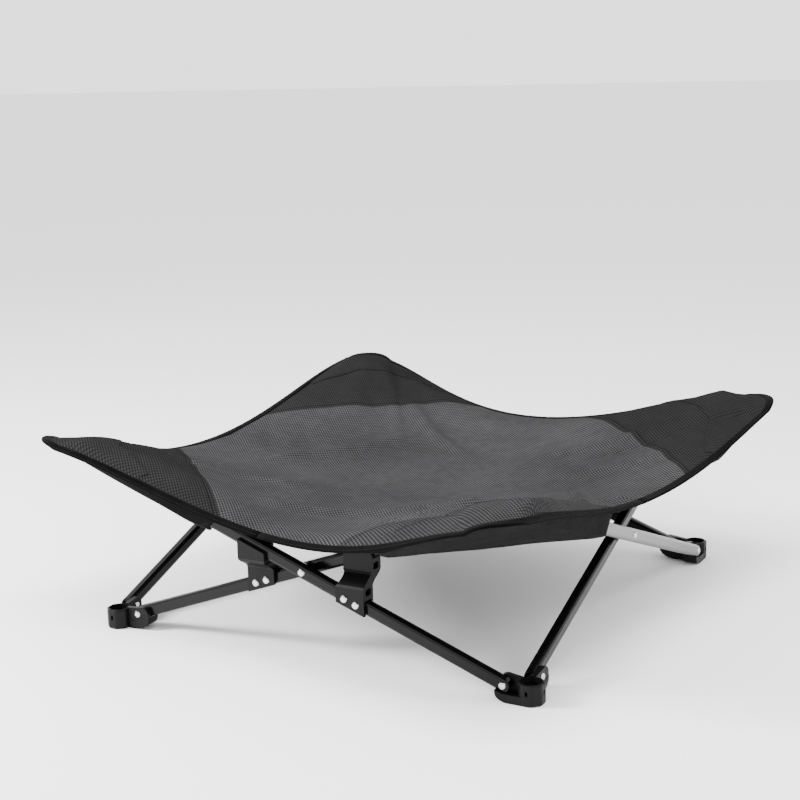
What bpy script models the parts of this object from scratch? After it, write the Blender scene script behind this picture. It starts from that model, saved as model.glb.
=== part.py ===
# Folding camping dog bed: four scissor pairs stand on four feet and hold a mesh sheet by its tips.
# Metres, +Z up. The origin is on the ground under the middle of the bed, and the front is at -Y.
# Each side is modelled at the front and turned about Z by a quarter turn for each further side.
import math

import bmesh
import bpy
from mathutils import Matrix, Vector

# Scissor frame
PIVOT_REACH = 0.317
PIVOT_HEIGHT = 0.024
CORNER_TO_PIVOT = 0.033
INCLINE = math.radians(20.2)
OUTER_PAST_FOOT = 0.071
INNER_PAST_FOOT = 0.021

# Tubes
TUBE_DEPTH = 0.020
TUBE_THICK = 0.016
TUBE_WALL = 0.0014
TUBE_ROUND = 0.0045
PLUG_LENGTH = 0.014
PLUG_NOSE = 0.004
PLUG_TAPER = 0.75

# Fits and rivets
GAP = 0.0003
RIVET_SHANK = 0.0030
RIVET_HEAD = 0.0056
RIVET_DOME = 0.0026
RIVET_TAIL = 0.0048
RIVET_TAIL_HEIGHT = 0.0012
RIVET_TAIL_TAPER = 0.85
DOME_STEPS = 3
BUSH_RADIUS = 0.0090

# Feet
LUG_THICK = 0.0074
LUG_EAR = 0.0118
EAR_START = math.radians(70)
OUTER_BOW = 0.012
INNER_BOW = 0.021
BOW_HEEL = 0.008
BOW_NOSE = 0.004
BASE_CLEARANCE = 0.001
BASE_MARGIN = 0.001
BASE_LIP = 0.0006
RING_OFFSET = 0.003
RING_OUTER = 0.0200
RING_BORE = 0.0155
RING_HEIGHT = 0.031
RING_FLOOR = 0.004
RING_CORNER = 0.003
SLOT_WIDTH = 0.004
SLOT_HEIGHT = 0.008
SLOT_LEVEL = 0.018

# Stop brackets
BRACKET_MIDDLE = 0.083
BRACKET_LENGTH = 0.046
BRACKET_WALL = 0.0055
BRACKET_JOG = 0.020
BRACKET_RIVET_PITCH = 0.020
CORE_DEPTH = 0.012
CORE_WIDTH = 0.015
CORE_HEIGHT = 0.010
CORE_LEVEL = 0.0165
CORE_ROUND = 0.0038
WAIST_RADIUS = 0.0125
WAIST_DEPTH = 0.004

# Sheet
TIP_OVERHANG = 0.070
TIP_SWING = math.radians(7.4)
TIP_RADIUS = 0.055
TIP_HALF_ARC = math.radians(50)
TIP_LIFT = 0.0005
RIM_PULL = (0.035, 0.035, 0.030, 0.030)
RIM_SAG = (0.104, 0.090, 0.088, 0.081)
RIM_SKEW = (1.10, 1.20, 1.30, 1.60)
RIM_PULL_POWER = 1.5
RIM_SHARES = (0.04, 0.09, 0.16, 0.27, 0.42, 0.58, 0.72, 0.83, 0.91, 0.96)
MIDDLE_HEIGHT = 0.180
BOWL_POWER = 1.7
SHEET_THICK = 0.0016
TENT_CLEARANCE = 0.0045
TENT_FLAT_INSIDE = 0.040
TENT_FALL_INSIDE = 0.35
TENT_FLAT_OUTSIDE = 0.012
TENT_FALL_OUTSIDE = 2.0
TENT_BLEND = 0.012
TENT_OVERRUN = 0.008
BINDING_WIDTH = 0.009
BINDING_THICK = 0.0034
BINDING_CLEARANCE = 0.0009
BINDING_SECTION = ((0, -0.6), (0, 0.6), (0.3, 1), (0.75, 1), (1, 0), (0.75, -1), (0.3, -1))
TIP_STEPS = 5
RING_SHARES = (0.18, 0.36, 0.53, 0.68, 0.80, 0.89, 0.95, 1.0)

# Corner pockets under the sheet
MOUTH_PAST_SIDE = 0.140
POCKET_THICK = 0.0012
POCKET_DROP = 0.0030
POCKET_MARGIN = 0.0021
SEAM_GAP = 0.0008
MOUTH_INSET = 0.012
POCKET_SLACK = 0.010
POCKET_CLEARANCE = 0.0065
POCKET_SHARES = (0.0, 0.07, 0.15, 0.30, 0.50, 0.75, 1.0)
POCKET_TURN = 0.15

# Tip patches on the sheet
PATCH_THICK = 0.0012
PATCH_GAP = 0.0005
PATCH_RINGS = 2
PATCH_SPREAD = 1

# Worked out from the sizes above
SIDE_PLANE = PIVOT_REACH + CORNER_TO_PIVOT
OUTER_RUN = 2 * PIVOT_REACH + OUTER_PAST_FOOT
INNER_RUN = 2 * PIVOT_REACH + INNER_PAST_FOOT
PLANE_OFFSET = LUG_THICK / 2 + GAP + TUBE_THICK / 2
SLOPE = math.tan(INCLINE)
TO_CROSSING = PIVOT_REACH / math.cos(INCLINE)
CROSSING_HEIGHT = PIVOT_HEIGHT + PIVOT_REACH * SLOPE
OUTER_LENGTH = OUTER_RUN / math.cos(INCLINE)
INNER_LENGTH = INNER_RUN / math.cos(INCLINE)
TUBE_RISE = TUBE_DEPTH / 2 / math.cos(INCLINE)
HOLE = RIVET_SHANK + GAP
TIP_REACH = math.hypot(OUTER_RUN - PIVOT_REACH, SIDE_PLANE + PLANE_OFFSET) + TIP_OVERHANG
TIP_HEIGHT = PIVOT_HEIGHT + OUTER_RUN * SLOPE + TUBE_RISE + TIP_LIFT
MOUTH_LINE = SIDE_PLANE + MOUTH_PAST_SIDE
BRACKET_HALF = TUBE_THICK / 2 + GAP + BRACKET_WALL
SIDES = ("front", "right", "back", "left")
CORNERS = ("front_right", "back_right", "back_left", "front_left")
BRACKET_SIDES = (0, 2)
BRIGHT_SIDE = 1


def new_collection(name):
    collection = bpy.data.collections.new(name)
    bpy.context.scene.collection.children.link(collection)
    return collection


for old in list(bpy.data.objects):
    bpy.data.objects.remove(old, do_unlink=True)
PARTS = new_collection("camping_dog_bed")
CUTTERS = new_collection("cutters")


def make_material(name, color, roughness, metallic=0.0):
    material = bpy.data.materials.new(name)
    material.use_nodes = True
    shader = material.node_tree.nodes["Principled BSDF"]
    shader.inputs["Base Color"].default_value = (*color, 1.0)
    shader.inputs["Roughness"].default_value = roughness
    shader.inputs["Metallic"].default_value = metallic
    return material


BLACK_TUBE = make_material("black_tube", (0.012, 0.012, 0.014), 0.25, 0.2)
BRIGHT_TUBE = make_material("bright_tube", (0.46, 0.46, 0.47), 0.35, 0.8)
BLACK_PLASTIC = make_material("black_plastic", (0.014, 0.014, 0.015), 0.45)
CHROME = make_material("chrome", (0.75, 0.75, 0.76), 0.12, 1.0)
MESH_CLOTH = make_material("mesh_cloth", (0.035, 0.034, 0.036), 0.75)
TAPE_CLOTH = make_material("tape_cloth", (0.014, 0.014, 0.015), 0.8)
POCKET_CLOTH = make_material("pocket_cloth", (0.018, 0.018, 0.020), 0.7)


# Helpers that make and cut meshes

def add_object(name, data, collection=PARTS):
    obj = bpy.data.objects.new(name, data)
    collection.objects.link(obj)
    return obj


def mesh_object(name, bm, collection=PARTS):
    mesh = bpy.data.meshes.new(name)
    bm.to_mesh(mesh)
    bm.free()
    return add_object(name, mesh, collection)


def box(name, size, middle=(0, 0, 0), turn=None):
    bm = bmesh.new()
    bmesh.ops.create_cube(bm, size=1.0, matrix=Matrix.Diagonal((*size, 1.0)))
    obj = mesh_object(name, bm)
    obj.matrix_world = Matrix.Translation(middle) @ (turn or Matrix.Identity(4))
    return obj


def cylinder(name, radius, length, middle=(0, 0, 0), axis="Z", segments=16):
    bm = bmesh.new()
    bmesh.ops.create_cone(
        bm, cap_ends=True, segments=segments, radius1=radius, radius2=radius, depth=length
    )
    obj = mesh_object(name, bm)
    turns = {"X": Matrix.Rotation(math.pi / 2, 4, "Y"), "Y": Matrix.Rotation(math.pi / 2, 4, "X")}
    obj.matrix_world = Matrix.Translation(middle) @ turns.get(axis, Matrix.Identity(4))
    return obj


def combine(target, other, operation):
    # A Boolean with a second object, which becomes a hidden cutter.
    for collection in list(other.users_collection):
        collection.objects.unlink(other)
    CUTTERS.objects.link(other)
    other.hide_render = True
    other.display_type = "WIRE"
    modifier = target.modifiers.new(other.name, "BOOLEAN")
    modifier.operation = operation
    modifier.solver = "EXACT"
    modifier.object = other


def cut(target, other):
    combine(target, other, "DIFFERENCE")


def unite(target, other):
    combine(target, other, "UNION")


def settled_mesh(obj):
    # The evaluated mesh in world space, for objects that share it. The source objects are removed.
    bpy.context.view_layer.update()
    evaluated = obj.evaluated_get(bpy.context.evaluated_depsgraph_get())
    mesh = bpy.data.meshes.new_from_object(evaluated)
    mesh.transform(obj.matrix_world)
    used = [m.object for m in obj.modifiers if m.type == "BOOLEAN"]
    for source in [obj, *used]:
        bpy.data.objects.remove(source, do_unlink=True)
    return mesh


def outline_solid(name, points, thickness):
    # A flat outline in XY, with half of its thickness on each side of z = 0.
    curve = bpy.data.curves.new(name, "CURVE")
    curve.dimensions = "2D"
    curve.fill_mode = "BOTH"
    curve.extrude = thickness / 2
    spline = curve.splines.new("POLY")
    spline.points.add(len(points) - 1)
    for point, (x, y) in zip(spline.points, points):
        point.co = (x, y, 0.0, 1.0)
    spline.use_cyclic_u = True
    mesh = settled_mesh(add_object(name, curve))
    bm = bmesh.new()
    bm.from_mesh(mesh)
    bmesh.ops.remove_doubles(bm, verts=bm.verts, dist=0.00001)
    bmesh.ops.recalc_face_normals(bm, faces=bm.faces)
    return mesh_object(name, bm)


def upright(obj, axis):
    # Turns an outline drawn in XY so that its second coordinate is up and its thickness runs along axis.
    turn = Matrix.Rotation(math.pi / 2, 4, "X")
    if axis == "X":
        turn = Matrix.Rotation(math.pi / 2, 4, "Z") @ turn
    obj.matrix_world = turn @ obj.matrix_world
    return obj


def bevel(obj, width, segments, angle=math.radians(40)):
    modifier = obj.modifiers.new("round", "BEVEL")
    modifier.width = width
    modifier.segments = segments
    modifier.limit_method = "ANGLE"
    modifier.angle_limit = angle


def arc(middle_x, middle_y, radius, start, end, steps):
    points = []
    for i in range(steps + 1):
        angle = start + (end - start) * i / steps
        points.append((middle_x + radius * math.cos(angle), middle_y + radius * math.sin(angle)))
    return points


def finish(obj, material, parent=None):
    # Gives the final material, smooth shading with sharp edges, and the side that carries it.
    obj.data.materials.clear()
    obj.data.materials.append(material)
    obj.data.shade_smooth()
    obj.data.set_sharp_from_angle(angle=math.radians(35))
    if parent:
        obj.parent = parent
    return obj


def side_frames():
    frames = []
    for turn, side in enumerate(SIDES):
        empty = add_object("side_" + side, None)
        empty.rotation_euler = (0, 0, turn * math.pi / 2)
        frames.append(empty)
    return frames


# Scissor tubes, drawn along +X from the foot pivot

def tube_mesh(length, hole_places):
    start = -TUBE_DEPTH / 2
    middle = (start + length) / 2
    rough = box("tube", (length - start, TUBE_THICK, TUBE_DEPTH), (middle, 0, 0))
    rough.data.transform(rough.matrix_world)
    rough.matrix_world = Matrix.Identity(4)
    bevel_long_edges(rough, TUBE_ROUND, 2)
    nose = outline_solid("nose", nose_outline(length + TUBE_DEPTH), TUBE_THICK * 2)
    combine(rough, upright(nose, "Y"), "INTERSECT")
    bore_size = (length * 1.2, TUBE_THICK - 2 * TUBE_WALL, TUBE_DEPTH - 2 * TUBE_WALL)
    bore = box("bore", bore_size, (0, 0, 0))
    bevel_long_edges(bore, TUBE_ROUND - TUBE_WALL, 1)
    bore.matrix_world = Matrix.Translation((bore_size[0] / 2 + start * 2, 0, 0))
    cut(rough, bore)
    for place in hole_places:
        cut(rough, cylinder("hole", HOLE, TUBE_THICK * 2, (place, 0, 0), "Y", 12))
    return settled_mesh(rough)


def nose_outline(length):
    # A bar as long as asked, with a half round at its lower end and a square upper end.
    radius = TUBE_DEPTH / 2
    return arc(0, 0, radius, math.pi / 2, math.pi * 3 / 2, 6) + [(length, -radius), (length, radius)]


def bevel_long_edges(obj, width, segments):
    bm = bmesh.new()
    bm.from_mesh(obj.data)
    along = [e for e in bm.edges if abs((e.verts[0].co - e.verts[1].co).normalized().x) > 0.99]
    bmesh.ops.bevel(bm, geom=along, offset=width, segments=segments, profile=0.5, affect="EDGES")
    bm.to_mesh(obj.data)
    bm.free()


def hole_places(with_bracket):
    places = [0.0, TO_CROSSING]
    if with_bracket:
        middle = TO_CROSSING - BRACKET_MIDDLE / math.cos(INCLINE)
        places += [middle - BRACKET_RIVET_PITCH / 2, middle + BRACKET_RIVET_PITCH / 2]
    return places


def plug_mesh():
    # An end plug: a spigot inside the tube and a rounded nose that stands out of it.
    spigot = TUBE_WALL + GAP
    size = (PLUG_LENGTH, TUBE_THICK - 2 * spigot, TUBE_DEPTH - 2 * spigot)
    body = box("plug", size, (0, 0, 0))
    bevel_long_edges(body, TUBE_ROUND - spigot, 1)
    body.matrix_world = Matrix.Translation((PLUG_NOSE / 2 + GAP - PLUG_LENGTH / 2, 0, 0))
    nose = box("plug_nose", (PLUG_NOSE, TUBE_THICK, TUBE_DEPTH), (0, 0, 0))
    bevel_long_edges(nose, TUBE_ROUND, 2)
    taper_nose(nose)
    nose.matrix_world = Matrix.Translation((GAP + PLUG_NOSE / 2, 0, 0))
    unite(body, nose)
    return settled_mesh(body)


def taper_nose(obj):
    for vertex in obj.data.vertices:
        if vertex.co.x > 0:
            vertex.co.y *= PLUG_TAPER
            vertex.co.z *= PLUG_TAPER


def place_tube(name, mesh, frame, outer, material):
    direction = -1 if outer else 1
    obj = finish(add_object(name, mesh), material, frame)
    obj.location = (-direction * PIVOT_REACH, -SIDE_PLANE + direction * PLANE_OFFSET, PIVOT_HEIGHT)
    obj.rotation_euler = (0, -INCLINE, math.pi if outer else 0)
    return obj


def make_tubes(frames):
    tubes = {}
    for bracket in (False, True):
        tubes["outer", bracket] = tube_mesh(OUTER_LENGTH, hole_places(bracket))
        tubes["inner", bracket] = tube_mesh(INNER_LENGTH, hole_places(bracket))
    plug = plug_mesh()
    for turn, side in enumerate(SIDES):
        for kind, length in (("outer", OUTER_LENGTH), ("inner", INNER_LENGTH)):
            bright = kind == "outer" and turn == BRIGHT_SIDE
            mesh = tubes[kind, turn in BRACKET_SIDES].copy()
            material = BRIGHT_TUBE if bright else BLACK_TUBE
            name = side + "_" + kind + "_tube"
            tube = place_tube(name, mesh, frames[turn], kind == "outer", material)
            end_plug = finish(add_object(side + "_" + kind + "_plug", plug), BLACK_PLASTIC, tube)
            end_plug.location = (length, 0, 0)


# Rivets and bushes

def rivet_mesh(grip):
    # A domed head above a shank and a flat tail below it, with the grip between their inner faces.
    top = grip / 2 + GAP
    profile = []
    for step in range(DOME_STEPS + 1):
        angle = math.pi / 2 * step / DOME_STEPS
        profile.append((RIVET_HEAD * math.sin(angle), top + RIVET_DOME * math.cos(angle)))
    profile += [
        (RIVET_SHANK, top),
        (RIVET_SHANK, -top),
        (RIVET_TAIL, -top),
        (RIVET_TAIL * RIVET_TAIL_TAPER, -top - RIVET_TAIL_HEIGHT),
        (0, -top - RIVET_TAIL_HEIGHT),
    ]
    bm = bmesh.new()
    verts = [bm.verts.new((x, 0, z)) for x, z in profile]
    for a, b in zip(verts[:-1], verts[1:]):
        bm.edges.new((a, b))
    obj = mesh_object("rivet", bm)
    screw = obj.modifiers.new("turn", "SCREW")
    screw.steps = 12
    screw.render_steps = 12
    screw.use_merge_vertices = True
    screw.merge_threshold = 0.00001
    return settled_mesh(obj)


def place_rivet(name, mesh, frame, x, y, z):
    # The head faces outwards, along -Y.
    obj = finish(add_object(name, mesh), CHROME, frame)
    obj.location = (x, y, z)
    obj.rotation_euler = (math.pi / 2, 0, 0)


def make_pivots(frames):
    foot_grip = TUBE_THICK + GAP + LUG_THICK
    foot_rivet = rivet_mesh(foot_grip)
    crossing_rivet = rivet_mesh(2 * TUBE_THICK + 2 * GAP + LUG_THICK)
    bush = cylinder("bush", BUSH_RADIUS, LUG_THICK, (0, 0, 0), "Y", 20)
    cut(bush, cylinder("bush_hole", HOLE, LUG_THICK * 2, (0, 0, 0), "Y", 12))
    bush = settled_mesh(bush)
    outer_y = -SIDE_PLANE - LUG_THICK / 2 - GAP - TUBE_THICK + foot_grip / 2
    inner_y = -SIDE_PLANE + LUG_THICK / 2 + GAP + TUBE_THICK - foot_grip / 2
    for turn, side in enumerate(SIDES):
        frame = frames[turn]
        for kind, x, y in (("outer", PIVOT_REACH, outer_y), ("inner", -PIVOT_REACH, inner_y)):
            place_rivet(side + "_" + kind + "_foot_rivet", foot_rivet, frame, x, y, PIVOT_HEIGHT)
        place_rivet(side + "_crossing_rivet", crossing_rivet, frame, 0, -SIDE_PLANE, CROSSING_HEIGHT)
        ring = finish(add_object(side + "_crossing_bush", bush), BLACK_PLASTIC, frame)
        ring.location = (0, -SIDE_PLANE, CROSSING_HEIGHT)


# Feet, drawn for the front right corner with the corner of the side planes at the origin

def bow_curve(bow):
    # The bottom line of an arm, from its tip under the tube down to the ground, like a boat's bow.
    tip_height = PIVOT_HEIGHT - TUBE_RISE - BASE_CLEARANCE + bow * SLOPE - BOW_NOSE
    reach = bow + BOW_HEEL
    points = []
    steps = 5
    for i in range(steps + 1):
        angle = math.pi / 2 * i / steps
        x = -CORNER_TO_PIVOT - bow + reach * (1 - math.cos(angle))
        points.append((x, tip_height * (1 - math.sin(angle))))
    return points


def lug_outline(bow):
    # A plate from the ring past the pivot, with a round shoulder above the bow.
    shoulder = -CORNER_TO_PIVOT - bow + LUG_EAR
    points = [(0, 0), (0, RING_HEIGHT)]
    points += arc(shoulder, PIVOT_HEIGHT, LUG_EAR, EAR_START, math.pi, 7)
    return points + bow_curve(bow)


def hull_outline(bow):
    # The side view of a base arm, whose top follows the underside of the tube above it.
    top = PIVOT_HEIGHT - TUBE_RISE - BASE_CLEARANCE
    root = RING_BORE / 2
    points = [(root, 0), (root, top), (-CORNER_TO_PIVOT, top), (-CORNER_TO_PIVOT - bow, top + bow * SLOPE)]
    return points + bow_curve(bow)


def arm(bow, inner):
    # A base arm that runs under one tube: along -X, or along +Y for the inner tube of the next side.
    near = LUG_THICK / 2 + GAP + TUBE_THICK + BASE_MARGIN
    far = LUG_THICK / 2 + BASE_LIP
    middle = -(near - far) / 2
    solid = upright(outline_solid("arm", hull_outline(bow), near + far), "Y")
    if inner:
        turn = Matrix.Rotation(-math.pi / 2, 4, "Z")
        solid.matrix_world = Matrix.Translation((middle, 0, 0)) @ turn @ solid.matrix_world
    else:
        solid.matrix_world = Matrix.Translation((0, middle, 0)) @ solid.matrix_world
    return solid


def foot_mesh():
    ring = cylinder("foot", RING_OUTER, RING_HEIGHT, (0, 0, 0), "Z", 8)
    ring.data.transform(Matrix.Rotation(math.pi / 8, 4, "Z"))
    bevel(ring, RING_CORNER, 2, math.radians(30))
    ring.matrix_world = Matrix.Translation((RING_OFFSET, -RING_OFFSET, RING_HEIGHT / 2))
    lug = upright(outline_solid("lug", lug_outline(OUTER_BOW), LUG_THICK), "Y")
    side_lug = upright(outline_solid("side_lug", lug_outline(INNER_BOW), LUG_THICK), "Y")
    side_lug.matrix_world = Matrix.Rotation(-math.pi / 2, 4, "Z") @ side_lug.matrix_world
    for piece in (arm(OUTER_BOW, False), arm(INNER_BOW, True), lug, side_lug):
        unite(ring, piece)
    bore_depth = RING_HEIGHT - RING_FLOOR
    bore_middle = (RING_OFFSET, -RING_OFFSET, RING_FLOOR + bore_depth)
    cut(ring, cylinder("ring_bore", RING_BORE, 2 * bore_depth, bore_middle, "Z", 20))
    for x, y, axis in ((-CORNER_TO_PIVOT, 0, "Y"), (0, CORNER_TO_PIVOT, "X")):
        cut(ring, cylinder("pivot_hole", HOLE, LUG_THICK * 3, (x, y, PIVOT_HEIGHT), axis, 12))
    for turn in (0, math.pi / 2):
        cut(ring, ring_slot(turn))
    return settled_mesh(ring)


def ring_slot(turn):
    # An upright oval slot through the ring's outer wall, at the front or at the right.
    radius = SLOT_WIDTH / 2
    straight = SLOT_HEIGHT / 2 - radius
    points = arc(0, straight, radius, 0, math.pi, 5) + arc(0, -straight, radius, math.pi, 2 * math.pi, 5)
    slot = upright(outline_solid("slot", points, RING_OUTER), "Y")
    reach = (RING_OUTER + RING_BORE) / 2
    place = Matrix.Translation((RING_OFFSET, -RING_OFFSET, SLOT_LEVEL))
    out = Matrix.Translation((0, -reach, 0))
    slot.matrix_world = place @ Matrix.Rotation(turn, 4, "Z") @ out @ slot.matrix_world
    return slot


def make_feet(frames):
    mesh = foot_mesh()
    for turn, corner in enumerate(CORNERS):
        foot = finish(add_object("foot_" + corner, mesh), BLACK_PLASTIC, frames[turn])
        foot.location = (SIDE_PLANE, -SIDE_PLANE, 0)


# Stop brackets, drawn about the crossing for the outer tube of the front

def s_profile():
    # An S in the view along X: the lower leg saddles its own tube and the upper leg cradles the other.
    low = -PLANE_OFFSET
    high = PLANE_OFFSET
    reach = BRACKET_MIDDLE
    front = s_wall(low - BRACKET_HALF, high - BRACKET_HALF)
    back = s_wall(low + BRACKET_HALF, high + BRACKET_HALF)
    outline = [(low - BRACKET_HALF, -reach)] + front + [(high - BRACKET_HALF, reach)]
    return outline + [(high + BRACKET_HALF, reach)] + back[::-1] + [(low + BRACKET_HALF, -reach)]


def s_wall(low, high):
    points = []
    steps = 6
    for i in range(steps + 1):
        share = i / steps
        ease = share * share * (3 - 2 * share)
        points.append((low + (high - low) * ease, BRACKET_JOG * (share - 0.5)))
    return points


def along(side):
    # The direction of the own tube (-1) or of the other tube (+1) at the right of the crossing.
    return Matrix.Rotation(-side * INCLINE, 4, "Y")


def bracket_cutter(name, size, along_side, y, lift):
    # A box that lies along one of the tubes, lifted square to it, at the bracket's middle.
    rise = along_side * BRACKET_MIDDLE * SLOPE
    turn = along(along_side)
    lifted = turn @ Vector((0, 0, lift))
    middle = Vector((BRACKET_MIDDLE, y, rise)) + lifted
    return box(name, size, middle, turn)


def bracket_mesh():
    solid = upright(outline_solid("bracket", s_profile(), BRACKET_LENGTH), "X")
    solid.matrix_world = Matrix.Translation((BRACKET_MIDDLE, 0, 0)) @ solid.matrix_world
    long = BRACKET_LENGTH * 3
    wide = BRACKET_HALF * 8
    tall = BRACKET_MIDDLE
    slot_width = TUBE_THICK + 2 * GAP
    half = TUBE_DEPTH / 2
    slot_lift = half + GAP - tall / 2
    cut(solid, bracket_cutter("saddle", (long, slot_width, tall), -1, -PLANE_OFFSET, slot_lift))
    cut(solid, bracket_cutter("foot_trim", (long, wide, tall), -1, 0, -half - tall / 2))
    cut(solid, bracket_cutter("cradle", (long, slot_width, tall), 1, PLANE_OFFSET, -slot_lift))
    cut(solid, bracket_cutter("lip_trim", (long, wide, tall), 1, 0, half + tall / 2))
    low_lip = bracket_cutter("low_lip", (long, BRACKET_HALF * 2, tall), 1, PLANE_OFFSET + BRACKET_HALF, tall / 2)
    cut(solid, low_lip)
    for side in (-1, 1):
        far = BRACKET_MIDDLE + BRACKET_LENGTH / 2
        core_middle = (far, side * PLANE_OFFSET, side * CORE_LEVEL)
        core = box("core", (2 * CORE_DEPTH, CORE_WIDTH, CORE_HEIGHT), core_middle)
        bevel_long_edges(core, CORE_ROUND, 2)
        cut(solid, core)
    waist = BRACKET_MIDDLE - BRACKET_LENGTH / 2 - WAIST_RADIUS + WAIST_DEPTH
    cut(solid, cylinder("waist", WAIST_RADIUS, wide, (waist, 0, 0), "Y", 20))
    for side in (-0.5, 0.5):
        shift = along(-1) @ Vector((side * BRACKET_RIVET_PITCH, 0, 0))
        place = Vector((BRACKET_MIDDLE, -PLANE_OFFSET, -BRACKET_MIDDLE * SLOPE)) + shift
        cut(solid, cylinder("rivet_hole", HOLE, BRACKET_HALF * 3, place, "Y", 12))
    return settled_mesh(solid)


def make_brackets(frames):
    mesh = bracket_mesh()
    rivet = rivet_mesh(2 * BRACKET_HALF)
    for turn in BRACKET_SIDES:
        for kind, direction in (("outer", 1), ("inner", -1)):
            name = SIDES[turn] + "_" + kind
            bracket = finish(add_object(name + "_stop_bracket", mesh), BLACK_PLASTIC, frames[turn])
            bracket.location = (0, -SIDE_PLANE, CROSSING_HEIGHT)
            bracket.rotation_euler = (0, 0, 0 if direction > 0 else math.pi)
            for number, share in ((1, -0.5), (2, 0.5)):
                shift = share * BRACKET_RIVET_PITCH
                x = direction * (BRACKET_MIDDLE + shift * math.cos(INCLINE))
                z = CROSSING_HEIGHT - BRACKET_MIDDLE * SLOPE - shift * math.sin(INCLINE)
                y = -SIDE_PLANE - direction * PLANE_OFFSET
                label = name + "_bracket_rivet_" + str(number)
                place_rivet(label, rivet, frames[turn], x, y, z)


# Sheet, binding and pockets

def quarter(x, y, turns):
    for _ in range(turns % 4):
        x, y = -y, x
    return x, y


def tip_arc(turn):
    # The round tip at the corner of this turn, from its front-side end to its right-side end.
    heading = -math.pi / 4 - TIP_SWING
    middle = TIP_REACH - TIP_RADIUS
    points = []
    for i in range(TIP_STEPS + 1):
        angle = heading - TIP_HALF_ARC + 2 * TIP_HALF_ARC * i / TIP_STEPS
        x = middle * math.cos(heading) + TIP_RADIUS * math.cos(angle)
        y = middle * math.sin(heading) + TIP_RADIUS * math.sin(angle)
        points.append((*quarter(x, y, turn), TIP_HEIGHT))
    return points


def rim(turn):
    # The edge of one side between two tips: pulled in, sagging, with its low point off the middle.
    start = Vector(tip_arc(turn - 1)[-1])
    end = Vector(tip_arc(turn)[0])
    along_rim = (end - start).normalized()
    inward = Vector((-along_rim.y, along_rim.x, 0))
    points = []
    for share in RIM_SHARES:
        sag_share = share ** RIM_SKEW[turn]
        pull = RIM_PULL[turn] * (4 * share * (1 - share)) ** RIM_PULL_POWER
        point = start.lerp(end, share) + inward * pull
        point.z -= RIM_SAG[turn] * 4 * sag_share * (1 - sag_share)
        points.append(tuple(point))
    return points


def sheet_edge():
    points = []
    for turn in range(4):
        points += rim(turn) + tip_arc(turn)
    return points


def smooth_max(a, b, blend):
    overlap = max(blend - abs(a - b), 0.0)
    return max(a, b) + overlap * overlap / (4 * blend)


def tent_height(x, y, lowest):
    # How high the tubes hold the sheet at this place, smoothly joined to its own height.
    height = lowest
    for turn in range(4):
        u, v = quarter(x, y, -turn)
        for direction, run in ((-1, OUTER_RUN), (1, INNER_RUN)):
            reach = min(direction * u + PIVOT_REACH, run + TENT_OVERRUN)
            past = direction * u + PIVOT_REACH - reach
            aside = v + SIDE_PLANE - direction * PLANE_OFFSET
            fall = TENT_FALL_INSIDE * (max(aside - TENT_FLAT_INSIDE, 0.0) + max(past, 0.0))
            fall += TENT_FALL_OUTSIDE * max(-aside - TENT_FLAT_OUTSIDE, 0.0)
            top = PIVOT_HEIGHT + reach * SLOPE + TUBE_RISE + SHEET_THICK + TENT_CLEARANCE
            height = smooth_max(height, top - fall, TENT_BLEND)
    return height


def sheet_height(x, y, edge_height, share):
    bowl = MIDDLE_HEIGHT + (edge_height - MIDDLE_HEIGHT) * share ** BOWL_POWER
    return tent_height(x, y, bowl)


def solidify(obj, thickness):
    modifier = obj.modifiers.new("thickness", "SOLIDIFY")
    modifier.thickness = thickness
    modifier.offset = -1.0
    modifier.use_even_offset = True


def inset_edge(points, width):
    inner = []
    for x, y, z in points:
        keep = 1 - width / math.hypot(x, y)
        inner.append((x * keep, y * keep, z))
    return inner


def make_sheet(edge):
    bm = bmesh.new()
    rings = []
    for share in RING_SHARES:
        row = []
        for x, y, z in edge:
            height = sheet_height(x * share, y * share, z, share)
            row.append(bm.verts.new((x * share, y * share, height)))
        rings.append(row)
    middle = bm.verts.new((0, 0, MIDDLE_HEIGHT))
    count = len(edge)
    for i in range(count):
        j = (i + 1) % count
        bm.faces.new((middle, rings[0][i], rings[0][j]))
        for inner, outer in zip(rings[:-1], rings[1:]):
            bm.faces.new((inner[i], outer[i], outer[j], inner[j]))
    sheet = mesh_object("sleeping_sheet", bm)
    solidify(sheet, SHEET_THICK)
    return finish(sheet, MESH_CLOTH)


def make_binding(edge):
    # A flat tape round the edge, with its corners eased, as one closed band.
    inner = inset_edge(edge, BINDING_WIDTH)
    half = BINDING_THICK / 2
    bm = bmesh.new()
    rows = []
    for (ox, oy, oz), (ix, iy, iz) in zip(edge, inner):
        height = sheet_height(ix, iy, oz, 1.0) - SHEET_THICK / 2
        section = []
        for share, lift in BINDING_SECTION:
            x = ix + (ox - ix) * share
            y = iy + (oy - iy) * share
            section.append(bm.verts.new((x, y, height + lift * half)))
        rows.append(section)
    for i, row in enumerate(rows):
        following = rows[(i + 1) % len(rows)]
        for a in range(len(row)):
            b = (a + 1) % len(row)
            bm.faces.new((row[a], row[b], following[b], following[a]))
    bmesh.ops.recalc_face_normals(bm, faces=bm.faces)
    return finish(mesh_object("edge_binding", bm), TAPE_CLOTH)


def pocket_height(x, y, top, share):
    # The pocket leaves the sheet at its edge and dips under the tubes towards its mouth.
    run = x - y - SIDE_PLANE - PLANE_OFFSET + PIVOT_REACH
    under = PIVOT_HEIGHT + run * SLOPE - TUBE_RISE - POCKET_CLEARANCE
    turn = min(share / POCKET_TURN, 1.0)
    ease = turn * turn * (3 - 2 * turn)
    return top + (min(top - POCKET_SLACK, under) - top) * ease


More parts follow.
